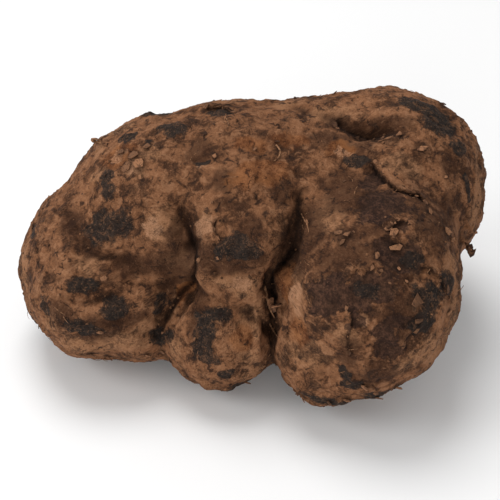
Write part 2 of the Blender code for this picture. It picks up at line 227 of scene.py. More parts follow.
# Where the flesh bulges more than the solid's: routes as above, width and height.
SWELLINGS = [
    Crease([(188, 292), (177, 312), (172, 335), (178, 356)], 5.0, 3.6),
    Crease([(257, 288), (263, 318), (263, 345), (254, 366)], 4.0, 5.5),
    Crease([(212, 234), (214, 250), (224, 258)], 5.0, 1.6),
    Crease([(283, 278), (281, 310), (283, 340), (290, 364)], 3.6, 4.5),
]
SWELLING_FADE = 0.3
SWELLING_END = 0.1
ROUTE_BENDS = 0.4
# How deep against its width a crease must be to fill with soil and painted shade, and how far these spread
# across it.
SOIL_AND_SHADE_FILLS = 2.2
SOIL_AND_SHADE_WIDTH = 1.1

# Each ledge is a broken edge of bark: it runs along its pixels of the photograph, and the skin to
# the left of it, seen on the way, lies lower, by so much there and less further off.
Ledge = namedtuple("Ledge", "route depth reach lip")
LEDGES = [
    Ledge([(334, 120), (342, 130), (354, 136), (370, 139), (386, 138), (402, 134)], 3.6, 5.0, 0.6),
    Ledge([(428, 204), (420, 196), (401, 190), (388, 181), (380, 173), (372, 160)], 2.6, 8.0, 0.9),
    Ledge([(217, 216), (214, 225), (215, 234), (223, 245)], 1.0, 6.0, 0.5),
    Ledge([(234, 112), (223, 107), (212, 106), (201, 109)], 2.0, 4.0, 1.3),
    Ledge([(447, 294), (442, 277), (431, 268), (418, 268)], 1.1, 9.0, 0.5),
    Ledge([(414, 226), (405, 220), (396, 222), (388, 232)], 1.0, 7.0, 0.5),
    Ledge([(348, 306), (352, 322), (346, 340), (352, 356)], 0.9, 8.0, 0.4),
    Ledge([(418, 330), (408, 338), (404, 352)], 0.8, 7.0, 0.4),
]
LEDGE_STEEPNESS = 0.9
LEDGE_ENDS = 0.15
LIP_WIDTH = 2
LEDGE_CLEAN = 5
# The painted shadow under a ledge, a dark strip: where it begins and ends, in millimetres, and how softly.
LEDGE_SHADE = ((-0.4, 0.3), (0.7, 2.0))
FACING_FROM = (-0.2, 0.15)
# Dirt and painted shade lie where the skin is hollow, and it is paler where it bulges, against a smoothed
# copy.
HOLLOW_SMOOTHING = 74
HOLLOW = (0.15, 1.5)
BULGE = (0.2, 1.1)

# Relief of the bark: how wide and how high its lumps are, in millimetres.
LUMPS = ((9, 0.5), (4.5, 0.34), (2.4, 0.2))
WRINKLES = ((5.5, 0.5), (2.8, 0.3))
WRINKLE_STRETCH = 0.09
WRINKLE_LEAST = 0.1
PLATE_HEIGHT = 0.55
CRUST_HEIGHT = 0.45
CRUST_GRAIN = 2.2
CRUST_LEVEL = 0.7
PEEL_DEPTH = 0.7
PIT_COUNT = 340
PIT_RADIUS = (0.9, 2.4)
PIT_DEPTH = (0.25, 0.8)
PIT_SEED = 5
# The rim round a pit: its height as a share of the pit's depth, where it stands and how narrow it is.
PIT_RIM = (0.35, 1.5, 6)

# Layers of noise over the skin: the size of each one's lumps in millimetres, a shift that makes it
# differ from the others, and its share.
PLATE_NOISE = ((13, 21, 1), (3.6, 25, 0.4))
RAGGED_NOISE = ((4, 41, 1), (1.9, 43, 0.5))
UNSEEN_SCABS = ((19, 3, 1), (7, 5, 0.3))
UNSEEN_PEELED = ((34, 8, 1), (9, 2, 0.3))
UNSEEN_PALE = ((24, 12, 1), (8, 6, 0.2))
UNSEEN_ORANGE = ((27, 17, 1), (8, 9, 0.2))
UNSEEN_DIRTY = ((21, 33, 1),)
UNSEEN_FULL = 0.5
UNSEEN_FROM = (-0.1, 0.25)
PLATE_EDGE = (0.02, 0.14)
CRUST_EDGE = (0.4, 0.62)
BARED_EDGE = (0.42, 0.58)
CRUST_RAGGED = 0.5
BARED_RAGGED = 0.45
# How much bark a ledge keeps on its upper side and loses on its lower side.
LEDGE_KEEPS = 1.2
LEDGE_BARES = 0.3
# Soil and painted shade in the pits: how dark they make the skin.
SOIL_AND_SHADE_IN_PITS = 0.7
# Painted shadow under the ledges: how dark it makes the skin.
SHADOW_UNDER_LEDGES = 0.9


def evaluated_mesh(obj):
    """The object's mesh with its modifiers applied; the object itself is removed."""
    bpy.context.view_layer.update()
    mesh = bpy.data.meshes.new_from_object(obj.evaluated_get(bpy.context.evaluated_depsgraph_get()))
    bpy.data.objects.remove(obj, do_unlink=True)
    return mesh


def object_with(mesh, name):
    obj = bpy.data.objects.new(name, mesh)
    bpy.context.scene.collection.objects.link(obj)
    return obj


def tree_of(mesh):
    shape = bmesh.new()
    shape.from_mesh(mesh)
    tree = BVHTree.FromBMesh(shape)
    shape.free()
    return tree


def places(mesh):
    """The mesh's points and their normals, as arrays of rows."""
    points = np.empty(len(mesh.vertices) * 3, np.float32)
    mesh.vertices.foreach_get("co", points)
    normals = np.empty(len(mesh.vertices) * 3, np.float32)
    mesh.vertex_normals.foreach_get("vector", normals)
    return points.reshape(-1, 3).astype(float), normals.reshape(-1, 3).astype(float)


def fine_skin(solid):
    """A fine mesh of the solid, without the coarse root stubs and chips that stand out of it."""
    fine = object_with(solid.data.copy(), "fine")
    fine.data.materials.clear()
    remesh = fine.modifiers.new("Fine", "REMESH")
    remesh.mode = "VOXEL"
    remesh.voxel_size = SKIN_VOXEL
    mesh = evaluated_mesh(fine)
    tree = tree_of(mesh)
    points, normals = places(mesh)
    start = points - normals * UNDER_SKIN
    thin = np.array(
        [
            tree.ray_cast(Vector(at), Vector(-out), THIN)[0] is not None
            for at, out in zip(start, normals)
        ],
        float,
    )
    edges = np.empty(len(mesh.edges) * 2, np.int32)
    mesh.edges.foreach_get("vertices", edges)
    edges = edges.reshape(-1, 2)
    for _ in range(THIN_REACH):
        wider = thin.copy()
        np.maximum.at(wider, edges[:, 0], thin[edges[:, 1]])
        np.maximum.at(wider, edges[:, 1], thin[edges[:, 0]])
        thin = wider
    skin = object_with(mesh, "skin")
    group = skin.vertex_groups.new(name="thin")
    group.add(np.where(thin > 0)[0].tolist(), 1.0, "REPLACE")
    for iterations, group_name in ((THIN_SMOOTHING, "thin"), (SKIN_SMOOTHING, "")):
        smooth = skin.modifiers.new("Smooth", "SMOOTH")
        smooth.factor = SMOOTHING_PULL
        smooth.iterations = iterations
        smooth.vertex_group = group_name
    return evaluated_mesh(skin)


def seen_at(x, y):
    """The point of the skin that shows at that pixel, or next to it at the outline; its normal."""
    middle = PHOTO_SIZE / 2
    for step in range(OUTLINE_STEPS):
        inwards = 1 - step * OUTLINE_STEP
        across = (x - middle) * inwards / PHOTO_SIZE * SENSOR / LENS
        up = (middle - y) * inwards / PHOTO_SIZE * SENSOR / LENS
        ray = (-towards_eye + eye_right * across + eye_up * up).normalized()
        point, normal, _, _ = core_tree.ray_cast(eye, ray)
        if point is not None:
            return point, normal
    raise ValueError(f"no skin shows near {x}, {y}")


def eased_step(low, high, values):
    share = np.clip((values - low) / (high - low), 0, 1)
    return share * share * (3 - 2 * share)


def bent_places():
    """The points of the skin, moved about by noise, so that what is drawn round them is ragged."""
    noise.seed_set(MARK_SEED)
    bent = points.copy()
    for size, reach in MARK_BENDS:
        where = (points / (size * MM)).astype(np.float32)
        bent += np.array([noise.noise_vector(row) for row in where]) * reach * MM
    return bent


def marked(marks):
    """How far each point of the skin lies in one of the marks: 1 in its middle, 0.5 at its edge."""
    share = np.zeros(len(points))
    for mark in (Mark(*facts) for facts in marks):
        centre, out = seen_at(mark.x, mark.y)
        pixel = (centre - eye).length * SENSOR / LENS / PHOTO_SIZE
        turn = math.radians(mark.turn)
        along = eye_right * math.cos(turn) + eye_up * math.sin(turn)
        along = (along - out * along.dot(out)).normalized()
        across = out.cross(along)
        squeezed = [max(LEAST_SHOWN, math.sqrt(1 - way.dot(towards_eye) ** 2)) for way in (along, across)]
        offset = bent - np.array(centre)
        a = offset @ np.array(along) / (mark.wide * pixel / squeezed[0])
        b = offset @ np.array(across) / (mark.high * pixel / squeezed[1])
        c = offset @ np.array(out) / MARK_DEPTH
        reach = np.sqrt(a * a + b * b + c * c)
        share = np.maximum(share, 1 - eased_step(*MARK_EDGE, reach))
    return share


def pixels(at):
    """Where those points show in the photograph, as columns and rows of pixels."""
    sight = at - np.array(eye)
    zoom = PHOTO_SIZE * LENS / SENSOR / -(sight @ np.array(towards_eye))
    columns = PHOTO_SIZE / 2 + sight @ np.array(eye_right) * zoom
    rows = PHOTO_SIZE / 2 - sight @ np.array(eye_up) * zoom
    return np.stack([columns, rows], axis=1)


def beside(route):
    """How far each point shows from that line of the picture, in millimetres, more than 0 to the
    left of it, and how far along it that is, from 0 to 1."""
    near = np.full(len(points), np.inf)
    gap, along = np.zeros((2, len(points)))
    legs = len(route) - 1
    for leg in range(legs):
        start = np.array(route[leg])
        run = np.array(route[leg + 1]) - start
        share = np.clip((shown - start) @ run / (run @ run), 0, 1)
        offset = shown - (start + share[:, None] * run)
        reach = np.linalg.norm(offset, axis=1) * EYE_DISTANCE * SENSOR / LENS / PHOTO_SIZE / MM
        closer = reach < near
        near[closer] = reach[closer]
        gap[closer] = (reach * np.sign(offset[:, 0] * run[1] - offset[:, 1] * run[0]))[closer]
        along[closer] = (leg + share[closer]) / legs
    return gap, along


def ledge_heights():
    """How far the ledges raise or lower each point of the skin, in millimetres, and where they cast painted
    shadow.
    """
    moved, above, below = np.zeros((3, len(points)))
    for ledge in LEDGES:
        gap, along = beside(ledge.route)
        ends = eased_step(0, LEDGE_ENDS, np.minimum(along, 1 - along)) * facing
        fall = eased_step(0, LEDGE_STEEPNESS, gap) * np.exp(-((np.maximum(gap, 0) / ledge.reach) ** 2))
        rise = (gap <= 0) * np.exp(-((gap / LIP_WIDTH) ** 2))
        moved += ends * (ledge.lip * rise - ledge.depth * fall)
        above = np.maximum(above, ends * (gap <= 0) * np.exp(-((gap / LEDGE_CLEAN) ** 2)))
        shade = ends * eased_step(*LEDGE_SHADE[0], gap) * (1 - eased_step(*LEDGE_SHADE[1], gap))
        below = np.maximum(below, shade)
    return moved, above, below


def crease_depths():
    """How deep the creases are at each point of the skin, in millimetres, and how dark with soil and painted
    shade.
    """
    pressed, crease_soil_and_shade = np.zeros((2, len(points)))
    wobble = 1 + CREASE_WOBBLE * grain(CREASE_WAVES, 31)
    for crease in CREASES:
        gap, along = beside(crease.route)
        ends = np.clip(CREASE_FADE * np.minimum(along, 1 - along), CREASE_END, 1) * facing
        reach = np.abs(gap) / (crease.width * wobble)
        pressed = np.maximum(pressed, crease.depth * ends * np.exp(-(reach**2)))
        filled = min(1, crease.depth / crease.width / SOIL_AND_SHADE_FILLS) * ends
        crease_soil_and_shade = np.maximum(crease_soil_and_shade, filled * np.exp(-((reach / SOIL_AND_SHADE_WIDTH) ** 2)))
    return pressed, crease_soil_and_shade


def swollen():
    """How far the swellings raise each point of the skin, in millimetres."""
    raised = np.zeros(len(points))
    for swelling in SWELLINGS:
        gap, along = beside(swelling.route)
        ends = eased_step(0, SWELLING_FADE, np.minimum(along, 1 - along) + SWELLING_END) * facing
        raised = np.maximum(raised, swelling.depth * ends * np.exp(-((gap / swelling.width) ** 2)))
    return raised


def hollow_depths():
    """How far each point of the skin lies under a smoothed copy of it, in millimetres."""
    edges = np.empty(len(core.edges) * 2, np.int32)
    core.edges.foreach_get("vertices", edges)
    ends = np.concatenate([edges, edges.reshape(-1, 2)[:, ::-1].ravel()]).reshape(-1, 2)
    counts = np.bincount(ends[:, 0], minlength=len(points))
    smooth = points.copy()
    for _ in range(HOLLOW_SMOOTHING):
        beyond = smooth[ends[:, 1]].T
        pulled = [np.bincount(ends[:, 0], row, len(points)) / counts for row in beyond]
        smooth = (smooth + np.stack(pulled, axis=1)) / 2
    return np.einsum("ij,ij->i", smooth - points, normals) / MM


def grain(size, shift, at=None):
    """Soft noise over the skin, from -1 to 1, with lumps of that size in millimetres."""
    where = (points if at is None else at) / (size * MM) + shift
    return np.array([noise.noise(row) for row in where.astype(np.float32)])


def layered(layers):
    return sum(share * grain(size, shift) for size, shift, share in layers)


def placed(marks, layers, low):
    """How far each point of the skin lies in the marks, and in those that noise places out of sight."""
    return np.maximum(marked(marks), unseen * eased_step(low, UNSEEN_FULL, layered(layers)))


def pit_depths():
    """How deep the old root scars and pores are at each point of the skin, in millimetres."""
    draw = np.random.default_rng(PIT_SEED)
    pressed = np.zeros(len(points))
    for index in draw.integers(0, len(points), PIT_COUNT):
        gap = np.linalg.norm(points - points[index], axis=1) / MM
        reach = gap / draw.uniform(*PIT_RADIUS)
        depth = draw.uniform(*PIT_DEPTH)
        height, place, narrow = PIT_RIM
        rim = height * np.exp(-((reach - place) ** 2) * narrow)
        pressed += depth * (np.exp(-(reach**2)) - rim)
    return pressed


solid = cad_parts["tuber"]
core = fine_skin(solid)
core_tree = tree_of(core)
points, normals = places(core)

outward = points - np.array(NECK)
far = np.linalg.norm(outward, axis=1)[:, None]
streaks = outward / far * (WRINKLE_LEAST + WRINKLE_STRETCH * far)

bent = bent_places()
shown = pixels(points + (bent - points) * ROUTE_BENDS)
facing = eased_step(*FACING_FROM, normals @ np.array(towards_eye))
# Where the photograph doesn't show the skin, noise places marks of the same kinds.
unseen = 1 - eased_step(*UNSEEN_FROM, normals @ np.array(towards_eye))
scab_and_shade = placed(BLACK_SCABS_AND_SHADE, UNSEEN_SCABS, 0.12)
peel = placed(PEELED, UNSEEN_PEELED, 0.05)
pale = placed(PALE, UNSEEN_PALE, -0.05)
orange = placed(ORANGE, UNSEEN_ORANGE, 0.1)
dirt_and_shade = placed(DIRT_AND_SHADE_MARKS, UNSEEN_DIRTY, 0.0)
scuffs_and_highlight = marked(SCUFFS_AND_HIGHLIGHT)
plate = eased_step(*PLATE_EDGE, layered(PLATE_NOISE))
ragged = layered(RAGGED_NOISE)
ledges, above_ledge, below_ledge = ledge_heights()
peel = np.clip(peel - LEDGE_KEEPS * above_ledge + LEDGE_BARES * below_ledge, 0, 1)
crust = eased_step(*CRUST_EDGE, scab_and_shade + CRUST_RAGGED * ragged)
bared = eased_step(*BARED_EDGE, peel + BARED_RAGGED * ragged)

relief = sum(height * grain(size, 50 + size) for size, height in LUMPS)
for size, height in WRINKLES:
    folds = grain(size, 70 + size, streaks)
    relief += height * (0.5 - 2 * np.abs(folds))
relief += PLATE_HEIGHT * plate * (1 - bared)
relief += CRUST_HEIGHT * crust * (CRUST_LEVEL + grain(CRUST_GRAIN, 90))
relief -= PEEL_DEPTH * bared
creased, crease_soil_and_shade = crease_depths()
pits = pit_depths()
points += np.array(towards_eye) * ((ledges - creased + swollen()) * MM)[:, None]
hollow = hollow_depths()
points += normals * ((relief - pits) * MM)[:, None]
points[:, 2] = np.maximum(points[:, 2], 0)
core.vertices.foreach_set("co", points.astype(np.float32).ravel())
core.update()

# Soil and painted shade in the creases and pits, and painted shadow under the ledges.
soil_and_shade = np.clip(crease_soil_and_shade + np.clip(pits, 0, 1) * SOIL_AND_SHADE_IN_PITS + SHADOW_UNDER_LEDGES * below_ledge, 0, 1)
for name, values in {
    "scab_and_shade": scab_and_shade,
    "peel": peel,
    "pale": pale,
    "orange": orange,
    "soil_and_shade": soil_and_shade,
    "dirt_and_shade": dirt_and_shade,
    "scuffs_and_highlight": scuffs_and_highlight,
    "relief": relief,
    "hollow": eased_step(*HOLLOW, hollow),
    "bulge": eased_step(*BULGE, -hollow),
}.items():
    core.attributes.new(name, "FLOAT", "POINT").data.foreach_set("value", values.astype(np.float32))
core.attributes.new("streaks", "FLOAT_VECTOR", "POINT").data.foreach_set(
    "vector", streaks.astype(np.float32).ravel()
)


def paint(red, green, blue):
    """A colour given as it looks on a screen, 0 to 255, as the light it stands for."""
    return (*(((value / 255 + 0.055) / 1.055) ** 2.4 for value in (red, green, blue)), 1)


def feed(material, node, inputs):
    """Sets the inputs of the node: each is a value, or the socket that feeds it."""
    for name, value in inputs.items():
        if isinstance(value, bpy.types.NodeSocket):
            material.node_tree.links.new(value, node.inputs[name])
        else:
            node.inputs[name].default_value = value


def wired(material, kind, inputs, **settings):
    """A new node of the material, with its inputs fed."""
    node = material.node_tree.nodes.new(kind)
    for name, value in settings.items():
        setattr(node, name, value)
    feed(material, node, inputs)
    return node


def new_material(name):
    material = bpy.data.materials.new(name)
    material.use_nodes = True
    return material


def surfaced(material, colour, rough, gloss, height, strength, deep):
    """The material with its colour, roughness and gloss, and with bumps that many millimetres deep."""
    bumps = {"Height": height, "Strength": strength, "Distance": deep * MM}
    inputs = {"Base Color": colour, "Roughness": rough, "Specular IOR Level": gloss}
    inputs["Normal"] = wired(material, "ShaderNodeBump", bumps).outputs["Normal"]
    feed(material, material.node_tree.nodes["Principled BSDF"], inputs)
    return material


def field(material, name, output="Fac"):
    """The values that the mesh holds under that name."""
    return wired(material, "ShaderNodeAttribute", {}, attribute_name=name).outputs[output]


def mottle(material, size, detail=3, at=None, rough=0.55, bend=0.0):
    """Soft noise round 0.5, with blots of that size in millimetres."""
    inputs = {"Scale": 1 / (size * MM), "Detail": detail, "Roughness": rough, "Distortion": bend}
    inputs["Vector"] = at or wired(material, "ShaderNodeTexCoord", {}).outputs["Object"]
    return wired(material, "ShaderNodeTexNoise", inputs).outputs["Fac"]


def crazing(material, size, wide, bend):
    """Thin bent cracks between plates of that size in millimetres: 1 in a crack, 0 off it."""
    place = wired(material, "ShaderNodeTexCoord", {}).outputs["Object"]
    inputs = {"Scale": 1 / (size * bend * MM), "Detail": 4}
    stir = wired(material, "ShaderNodeTexNoise", {**inputs, "Vector": place}).outputs["Color"]
    inputs = {0: stir, 1: (size * bend * MM,) * 3, 2: place}
    moved = wired(material, "ShaderNodeVectorMath", inputs, operation="MULTIPLY_ADD").outputs[0]
    cells = {"Scale": 1 / (size * MM), "Vector": moved}
    gap = wired(material, "ShaderNodeTexVoronoi", cells, feature="DISTANCE_TO_EDGE").outputs["Distance"]
    return cut_at(material, gap, wide / size, 0.2 * wide / size)


def sum_of(material, first, second, share=1.0):
    """first + second * share"""
    inputs = {0: second, 1: share, 2: first}
    return wired(material, "ShaderNodeMath", inputs, operation="MULTIPLY_ADD").outputs[0]


def product_of(material, first, second):
    return wired(material, "ShaderNodeMath", {0: first, 1: second}, operation="MULTIPLY").outputs[0]


def cut_at(material, value, low, high, least=0.0, most=1.0):
    """The value turned into a share with soft edges: least below low and most above high."""
    inputs = {"Value": value, "From Min": low, "From Max": high, "To Min": least, "To Max": most}
    return wired(material, "ShaderNodeMapRange", inputs, interpolation_type="SMOOTHSTEP").outputs[0]


def over(material, under, colour, share):
    """The colour laid over another one, as far as share says; each is a socket or a screen colour."""
    under, colour = (paint(*value) if isinstance(value, tuple) else value for value in (under, colour))
    return wired(material, "ShaderNodeMix", {0: share, 6: under, 7: colour}, data_type="RGBA").outputs[2]


# One coat of colour: the colour as it looks on a screen, how far it covers, and between which two
# values of its noise it fades in. The last two are left out where the value is a share already.
Coat = namedtuple("Coat", "colour cover low high", defaults=(None, None))
MURK = Coat((56, 36, 24), 0.6, 0.88, 0.72)
CHALK = Coat((150, 109, 80), 0.36, 0.755, 0.83)
# Dirt and painted shade in the hollows, and paler skin on the bulges.
DIRT_AND_SHADE_IN_HOLLOWS = Coat((38, 22, 12), 0.88)
ON_BULGES = Coat((158, 115, 84), 0.2)
# Dirt and painted shade where those marks lie.
DIRT_AND_SHADE_COAT = Coat((50, 29, 17), 0.74)
BARED_SKIN = Coat(None, 0.85)
# Black crust, and painted shade where those marks stand for it.
SCAB_AND_SHADE_COAT = Coat(None, 0.94)
CRUST_BROWN = Coat((78, 54, 38), 1, 1.04, 1.16)
# Painted shadow along the edges of peeled patches and crusts.
PAINTED_SHADOW_RIM = Coat((30, 19, 14), 0.4)
SPECKS = Coat((40, 26, 20), 0.66, 0.4, 0.36)
FLECKS = Coat((168, 126, 94), 0.1, 0.57, 0.66)
FIBRES = Coat((166, 124, 92), 0.15, 0.59, 0.68)
PORES = Coat((32, 20, 13), 0.12, 0.42, 0.32)
CRACKS = Coat((26, 16, 11), 0.7)
# Painted shade where the relief of the skin is low.
LOW_SKIN_SHADE = Coat((40, 25, 16), 0.5, 0.0, -1.2)
# Soil and painted shade in the creases and pits, painted shadow under the ledges and round the flakes.
SOIL_AND_SHADE_COAT = Coat((26, 15, 9), 0.85)
DUST_AND_LIGHT_COLOUR = (150, 108, 77)
SCUFF_AND_HIGHLIGHT_COLOUR = (166, 123, 93)
RUST_COLOURS = ((96, 53, 26), (140, 88, 50))
BARED_COLOURS = ((38, 25, 21), (76, 51, 39))
CRUST_COLOURS = ((19, 15, 13), (42, 35, 30))
# The browns of the bark from its darkest to its lightest, by the height of the noise.
BROWNS = {
    0.385: (44, 27, 17),
    0.447: (83, 53, 34),
    0.5: (113, 75, 50),
    0.553: (131, 89, 61),
    0.637: (147, 104, 74),
}
# How much noise breaks up each kind of mark, and how soft its edges are.
BREAKS = {
    "orange": (1.4, 0.4),
    "pale": (2, 0.35),
    "dirt_and_shade": (1.5, 0.5),
    "scuffs_and_highlight": (2.4, 0.25),
    "peel": (2.2, 0.1),
    "scab_and_shade": (2.2, 0.2),
}
# The plates between cracks and the width of the cracks, in millimetres, and how much they bend.
CRACK_PLATES = (13, 0.35, 0.6)
BARK_BUMP = 0.9


def coated(material, under, coat, value, colour=None):
    """The coat laid over the colour under it, where the value says so."""
    mask = value if coat.low is None else cut_at(material, value, coat.low, coat.high)
    return over(material, under, colour or coat.colour, product_of(material, mask, coat.cover))


def drifted(material, name, ragged):
    """The marks of that name, raised and lowered by noise."""
    share, _ = BREAKS[name]
    drift = sum_of(material, -0.5 * share, ragged, share)
    return sum_of(material, field(material, name), drift)


def spotted(material, name, ragged):
    """The marks of that name, broken up by noise, and only near where the mesh has them."""
    _, soft = BREAKS[name]
    broken = cut_at(material, drifted(material, name, ragged), 0.5 - soft, 0.5 + soft)
    return product_of(material, broken, cut_at(material, field(material, name), 0.04, 0.34))


def rimmed(material, name, ragged):
    """A thin line round the marks of that name, where painted shadow darkens their edge."""
    value = drifted(material, name, ragged)
    line = product_of(material, cut_at(material, value, 0.3, 0.5), cut_at(material, value, 0.66, 0.5))
    return product_of(material, line, cut_at(material, field(material, name), 0.1, 0.4))


def ramp_of(material, value, colours):
    """The value turned into colours: each stop stands at its key."""
    ramp = wired(material, "ShaderNodeValToRGB", {"Fac": value})
    stops = ramp.color_ramp.elements
    for place, colour in colours.items():
        stops.new(place).color = paint(*colour)
    stops.remove(stops[0])
    stops.remove(stops[-1])
    return ramp.outputs["Color"]


def bark():
    """Corky bark: browns in fine streaks, black crusted patches, bared purplish skin, pale and rusty dust,
    with painted light and shade.
    """
    material = new_material("corky_bark")
    long = field(material, "streaks", "Vector")

    broad = mottle(material, 12, 6, rough=0.62)
    blots = mottle(material, 4.2, 6, rough=0.6, bend=0.6)
    small = mottle(material, 1.9, 5, rough=0.65)
    fine = mottle(material, 0.7, 4, rough=0.7)
    streaky = mottle(material, 0.9, 4, at=long, rough=0.65)
    ragged = mottle(material, 5, 6, rough=0.68, bend=0.5)

    tone = product_of(material, broad, 0.48)
    for part, share in ((streaky, 0.22), (blots, 0.16), (small, 0.1), (fine, 0.04)):
        tone = sum_of(material, tone, part, share)
    colour = ramp_of(material, tone, BROWNS)

    # Pale dust, and painted light where the pale marks are.
    dust_and_light = spotted(material, "pale", ragged)
    dust_and_light = product_of(material, dust_and_light, cut_at(material, streaky, 0.4, 0.58, 0.3, 0.72))
    colour = over(material, colour, DUST_AND_LIGHT_COLOUR, dust_and_light)
    colour = coated(material, colour, MURK, sum_of(material, blots, broad, 0.7))
    colour = coated(material, colour, CHALK, sum_of(material, blots, small, 0.4))

    # Dirt and painted shade in the hollows, and paler skin on the bulges.
    deep = product_of(material, field(material, "hollow"), cut_at(material, small, 0.3, 0.6, 0.6))
    colour = coated(material, colour, DIRT_AND_SHADE_IN_HOLLOWS, deep)
    paler_on_bulges = product_of(material, field(material, "bulge"), cut_at(material, streaky, 0.42, 0.6))
    colour = coated(material, colour, ON_BULGES, paler_on_bulges)
    # Dirt and painted shade where those marks lie.
    colour = coated(material, colour, DIRT_AND_SHADE_COAT, spotted(material, "dirt_and_shade", ragged))
    rust = over(material, *RUST_COLOURS, cut_at(material, tone, 0.44, 0.56))
    colour = over(material, colour, rust, product_of(material, spotted(material, "orange", ragged), 0.6))
    # Scuffs of bright cork, and a painted highlight.
    bright = spotted(material, "scuffs_and_highlight", ragged)
    bright = product_of(material, bright, cut_at(material, streaky, 0.42, 0.6, 0.25, 0.75))
    colour = over(material, colour, SCUFF_AND_HIGHLIGHT_COLOUR, bright)
    under = over(material, *BARED_COLOURS, cut_at(material, small, 0.42, 0.62))
    colour = coated(material, colour, BARED_SKIN, spotted(material, "peel", ragged), under)

    # Black crust, with painted shade at the bottom edge and in the left cleft.
    scab_and_shade_share = spotted(material, "scab_and_shade", ragged)
    sooty = cut_at(material, sum_of(material, small, fine, 0.5), 0.6, 0.9)
    lumpy = over(material, *CRUST_COLOURS, sooty)
    lumpy = coated(material, lumpy, CRUST_BROWN, sum_of(material, blots, streaky))
    colour = coated(material, colour, SCAB_AND_SHADE_COAT, scab_and_shade_share, lumpy)
    # Painted shadow round peeled patches and crusts.
    for name in ("peel", "scab_and_shade"):
        colour = coated(material, colour, PAINTED_SHADOW_RIM, rimmed(material, name, ragged))

    colour = coated(material, colour, SPECKS, blots)
    colour = coated(material, colour, FLECKS, fine)
    colour = coated(material, colour, FIBRES, streaky)
    colour = coated(material, colour, PORES, fine)
    cracks = product_of(material, crazing(material, *CRACK_PLATES), cut_at(material, ragged, 0.53, 0.6))
    colour = coated(material, colour, CRACKS, cracks)
    # Painted shade where the relief of the skin is low.
    colour = coated(material, colour, LOW_SKIN_SHADE, field(material, "relief"))
    # Soil and painted shade in the creases and pits, painted shadow under ledges and round flakes.
    colour = coated(material, colour, SOIL_AND_SHADE_COAT, field(material, "soil_and_shade"))

    rough = cut_at(material, scab_and_shade_share, 0, 1, 0.94, 0.8)
    height = product_of(material, fine, 0.25)
    for part, share in ((streaky, 0.38), (small, 0.8), (cracks, -0.25)):
        height = sum_of(material, height, part, share)
    return surfaced(material, colour, rough, 0.15, height, 1.0, BARK_BUMP)


tuber = object_with(core, "tuber_skin")
tuber.data.shade_smooth()
tuber.data.materials.append(bark())
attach(tuber, "root")
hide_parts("tuber")

# The broken feeding roots.
# Wiry roots that fed the tuber, snapped off short when it was dug: bent, knobbly tapers with torn
# tips. One stands at each face of the solid that reaches far out of the skin, thin ones by the photo.

STANDS_OUT = 0.8 * MM
ROOT_FROM = 3.0 * MM
ROOT_SIDES = 9
ROOT_RINGS = 9
ROOT_FOOT = 2.2 * MM
ROOT_FLARE = 1.5
ROOT_BEND = 0.16
ROOT_KNOBS = 0.07
# A root this thick keeps its thickness; the thinner ones are slimmer than the solid's.
THICK_ROOT = 1.9 * MM
LEAST_ROOT = 0.4 * MM
ROOT_SEED = 3
ROOT_TORN = 0.5
ROOT_TAPER = 0.42
FLARE_FADE = 7
# Where the bend of a root lies, and which points of a solid's root belong to its foot and its tip,
# as shares of its height.
KNEE_AT = 0.45
FOOT_BELOW = 0.55
TIP_ABOVE = 0.7
TWIG_TAPER = (1.3, 1, 0.9, 0.6)
TWIG_TORN = 0.2 * MM
ROOT_BROWNS = ((84, 56, 38), (150, 109, 78))
ROOT_SPLITS = Coat((28, 20, 16), 1, 0.45, 0.3)

# The thin roots that the photograph shows: their pixels, how far they are lifted off the skin there
# and how thick they are, in millimetres.
Twig = namedtuple("Twig", "route lifts radius")
SEEN_TWIGS = [
    Twig([(264, 286), (267, 297), (272, 308), (275, 318)], (-0.6, 1.0, 1.6, 1.4), 0.62),
    Twig([(270, 324), (274, 331), (278, 336), (283, 338)], (-0.4, 1.0, 1.2, 0.4), 0.42),
    Twig([(266, 352), (265, 358), (262, 362), (262, 368)], (-0.4, 1.2, 1.8, 2.2), 0.36),
    Twig([(101, 144), (99, 139), (96, 138), (93, 142)], (-0.4, 0.8, 1.6, 1.6), 0.4),
    Twig([(276, 145), (280, 150), (279, 157), (274, 161)], (-0.4, 0.7, 0.8, 0.2), 0.4),
    Twig([(301, 214), (304, 220), (307, 226), (308, 232)], (-0.4, 0.9, 1.0, 0.4), 0.34),
    Twig([(228, 117), (227, 121), (229, 126), (226, 130)], (-0.4, 1.0, 1.2, 0.8), 0.34),
]

bark_tree = tree_of(core)


def groups_that_stand_out(mesh):
    """The points of the mesh that stand out of the smooth skin, in groups that are joined.

    The faces of the frame's solids are loose, so each group is points of one face.
    """
    outside = {}
    for vertex in mesh.vertices:
        near, out, _, _ = core_tree.find_nearest(vertex.co)
        height = (vertex.co - near).dot(out)
        if height > STANDS_OUT:
            outside[vertex.index] = (height, vertex.co.copy(), near, out)
    group_of = {index: index for index in outside}

    def first(index):
        while group_of[index] != index:
            index = group_of[index]
        return index

    for edge in mesh.edges:
        one, other = edge.vertices
        if one in outside and other in outside:
            group_of[first(one)] = first(other)
    groups = {}
    for index, facts in outside.items():
        groups.setdefault(first(index), []).append(facts)
    return [sorted(group, key=lambda facts: -facts[0]) for group in groups.values()]


